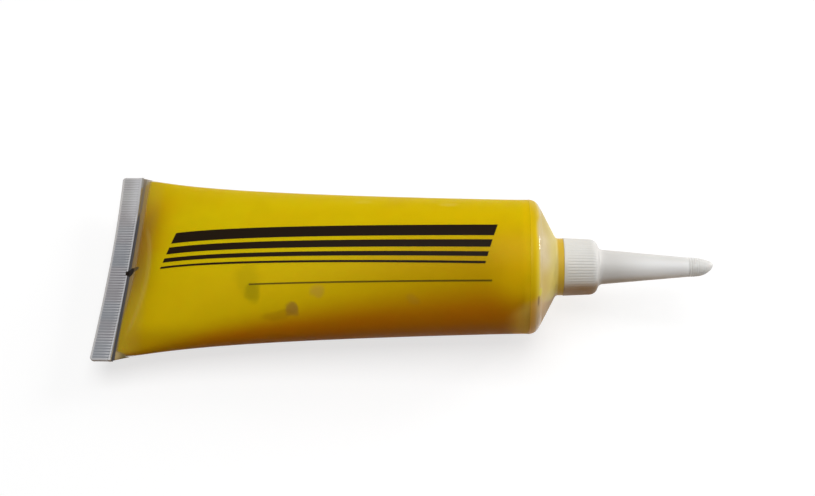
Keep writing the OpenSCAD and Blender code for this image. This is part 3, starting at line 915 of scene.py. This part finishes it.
def paintWhite():
    n, x, turn = nozzleShape, whitePaint.x, whitePaint.turnAround()
    fine, broad = whitePaint.place.cloud(1.2, 4), whitePaint.place.cloud(0.1, 2)
    notUnder = turn.soft(*n["underTurn"])
    # painted shade: brown on the collar's near, lower side, and a warm painted shade along the nozzle's low
    # side
    collarShade = turn.soft(37, 12) * notUnder * x.soft(*n["collarShadeFade"])
    warm = turn.soft(28, -5) * notUnder * x.soft(*n["lowFade"])
    base = layered(broad.soft(0.3, 0.75).blend(n["white"], n["whiteDeep"]), (
        # painted shade at the cone's foot, painted light on the tip's near side
        (x.soft(*n["footFade"]) * x.soft(*n["footEnd"]) * 0.55, n["coneFootShade"]),
        (x.soft(*n["tipFade"]) * turn.soft(115, 70) * notUnder, n["coneTipLight"]),
        (collarShade * (0.75 + 0.4 * broad), n["collarShade"]),
        (warm * (1 - 0.6 * x.soft(*n["lowEnd"])), n["lowSide"]),
    ))
    whitePaint.feed({"Base Color": base, "Roughness": 0.36 + 0.16 * fine,
                     "Normal": fine.bump(0.06, 0.1 * mm)})


paintWhite()
coatPiece(nozzlePiece, whitePaint)
finishPiece(nozzlePiece, "nozzle", "nozzle", 35)


# grease standing in the nozzle's bore
boreGrease = {"start": 129.1, "end": 156.1, "startRadius": 2.75, "endRadius": 1.0, "startRound": 0.3,
              "endRound": (0.4, 0.1), "endShare": 0.7, "rows": 8, "steps": 48}


def boreOutline():
    b = boreGrease
    outline = [(b["start"], 0.0), (b["start"], b["startRadius"] - b["startRound"])]
    outline += linePoints((b["start"] + b["startRound"], b["startRadius"]),
                          (b["end"] - b["endRound"][0], b["endRadius"]), b["rows"])
    return outline + [(b["end"] - b["endRound"][1], b["endRadius"] * b["endShare"]), (b["end"], 0.0)]


nozzleGrease = turnedPiece("nozzleGrease", boreOutline(), boreGrease["steps"], closed=False)
coatPiece(nozzleGrease, greasePaint)
finishPiece(nozzleGrease, "nozzle_core", "nozzle_grease")


# push-on tip cap
capShape = {
    "foot": 153.5, "tip": 159.873, "radius": 2.5, "belly": 2.4, "point": 0.58, "footEdge": 0.05,
    "socket": 1.83, "socketEnd": 156.773, "socketRound": 0.3,
    "rings": 8, "ringPitch": 0.6, "ringDepth": 0.09, "rows": 120, "steps": 96,
    "noseStart": 156.2, "noseBend": 0.55, "noseWay": (0.878, 0.478),
    "pale": colour(238, 237, 234), "deep": colour(229, 227, 223),
}


def capRadius(share):  # a blunt point with fine rings, deepest at the foot
    c = capShape
    radius = c["radius"] * (1 - share ** c["belly"]) ** c["point"]
    ring = (c["tip"] - c["foot"]) * share / c["ringPitch"]
    if 0.5 < ring < c["rings"] + 0.5:
        depth = c["ringDepth"] * (1 - ring / (c["rings"] + 1))
        radius -= depth * (0.5 + 0.5 * math.cos(2 * math.pi * ring)) ** 2
    return radius


def capOutline():
    c = capShape
    outline = [(c["socketEnd"], 0.0), (c["socketEnd"], c["socket"] - c["socketRound"]),
               (c["socketEnd"] - c["socketRound"], c["socket"]),
               (c["foot"], c["socket"]), (c["foot"], c["radius"] - c["footEdge"])]
    for i in range(c["rows"]):
        share = i / c["rows"]
        outline.append((c["foot"] + (c["tip"] - c["foot"]) * share, capRadius(share)))
    return outline + [(c["tip"], 0.0)]


def bendNose(index, x, y, z):
    c = capShape
    bend = c["noseBend"] * (max(0, x - c["noseStart"]) / (c["tip"] - c["noseStart"])) ** 2
    return x, y + bend * c["noseWay"][0], z + bend * c["noseWay"][1]


tipCap = turnedPiece("tipCap", capOutline(), capShape["steps"], closed=False)
moveVerts(tipCap, bendNose)
capPaint = Finish("cap plastic", mouldedPlastic)
capTone = capPaint.place.cloud(0.9, 4)
capPaint.feed({"Base Color": capTone.soft(0.3, 0.7).blend(capShape["pale"], capShape["deep"]),
               "Roughness": 0.36 + 0.16 * capTone, "Normal": capTone.bump(0.1, 0.15 * mm)})
coatPiece(tipCap, capPaint)
finishPiece(tipCap, "tip_cap", "tip_cap", 50)


# camera at the photograph's view, worked out along the tube: mm, degrees, and pixels for the focal length
viewShape = {"target": 77.0, "azimuth": 8.515, "elevation": 61.169, "roll": -7.377, "distance": 276.4,
             "shiftX": 3.957, "shiftY": 4.836, "focal": 1050.0, "imageWidth": 815, "sensor": 36,
             "clipStart": 0.01}


def makeCamera():
    v = viewShape
    az, el, roll = (math.radians(v[k]) for k in ("azimuth", "elevation", "roll"))
    back = Vector((math.sin(az) * math.cos(el), -math.cos(az) * math.cos(el), math.sin(el)))
    right = Vector((math.cos(az), math.sin(az), 0))
    up = back.cross(right)
    side = math.cos(roll) * right + math.sin(roll) * up
    top = math.cos(roll) * up - math.sin(roll) * right
    eye = Vector((v["target"], 0, 0)) + back * v["distance"] + side * v["shiftX"] + top * v["shiftY"]
    pose = Matrix((side, top, back)).transposed().to_4x4()
    pose.translation = eye * mm
    camera = bpy.data.objects.new("camera", bpy.data.cameras.new("camera"))
    scene.collection.objects.link(camera)
    camera.matrix_world = layDown @ pose
    camera.data.sensor_width = v["sensor"]
    camera.data.sensor_fit = "HORIZONTAL"
    camera.data.lens = v["sensor"] * v["focal"] / v["imageWidth"]
    camera.data.clip_start = v["clipStart"]
    scene.camera = camera
    print("camera placed, lens", round(camera.data.lens, 2), "mm")


makeCamera()

# studio: a pale floor, a large soft lamp overhead and two smaller ones beyond the nozzle
studio = {
    "lamps": {  # place in metres, power, size, seen in gloss
        "overhead": ((0.0, 0.05, 0.75), 3.4, (0.5, 0.5), True),
        "beyond": ((0.58, 0.38, 0.4), 2.2, (0.3, 0.3), False),
        "low": ((0.7, 0.277, 0.047), 1.3, (0.16, 0.08), True),
    },
    "world": 0.12, "floorSize": 6, "floorColour": (0.4, 0.4, 0.4, 1), "floorGlow": 0.7,
    "bounceColour": (0.45, 0.25, 0.09, 1), "farBounce": (0.72, 0.7, 0.66, 1), "warmEnd": (0.05, 0.085),
    "white": (1, 1, 1, 1),
}


def seenBy(start, *rays):  # 1 on rays of these kinds
    return largest([start.node("LightPath", None, None, "Is " + ray + " Ray") for ray in rays])


def makeFloor():  # white to the camera, a warm bounce on the object above it
    clearSelection()
    bpy.ops.mesh.primitive_plane_add(size=studio["floorSize"])
    floor = bpy.context.object
    floor.name = "floor"
    material = bpy.data.materials.new("pale floor")
    material.use_nodes = True
    tree = material.node_tree
    tree.nodes.clear()
    start = Flow(tree)
    seen = seenBy(start, "Camera", "Glossy", "Transmission")
    pale = start.node("BsdfDiffuse", None, {"Color": studio["floorColour"]})
    glow = start.node("Emission", None, {"Color": studio["white"], "Strength": studio["floorGlow"]})
    white = start.node("AddShader", None, {0: pale, 1: glow})
    along = start.node("SeparateXYZ", None, {0: start.node("TexCoord", None, None, "Object")})
    bounce = along.soft(*studio["warmEnd"]).blend(studio["bounceColour"], studio["farBounce"])
    warm = start.node("BsdfDiffuse", None, {"Color": bounce})
    mixed = start.node("MixShader", None, {0: seen, 1: warm, 2: white})
    output = tree.nodes.new("ShaderNodeOutputMaterial")
    tree.links.new(mixed.socket, output.inputs["Surface"])
    floor.data.materials.append(material)


def makeLamps():
    for name, (place, power, size, glossy) in studio["lamps"].items():
        lamp = bpy.data.lights.new(name, "AREA")
        lamp.shape, lamp.energy = "RECTANGLE", power
        lamp.size, lamp.size_y = size
        holder = bpy.data.objects.new(name, lamp)
        scene.collection.objects.link(holder)
        holder.visible_glossy = glossy
        holder.location = place
        holder.rotation_euler = (-Vector(place)).to_track_quat("-Z", "Y").to_euler()


def makeWorld():
    world = bpy.data.worlds.new("studio")
    world.use_nodes = True
    sky = world.node_tree.nodes["Background"]
    sky.inputs["Color"].default_value = studio["white"]
    seen = seenBy(Flow(world.node_tree), "Camera", "Transmission")
    level = seen * (1 - studio["world"]) + studio["world"]
    world.node_tree.links.new(level.socket, sky.inputs["Strength"])
    scene.world = world


makeFloor()
makeLamps()
makeWorld()
print("studio ready")
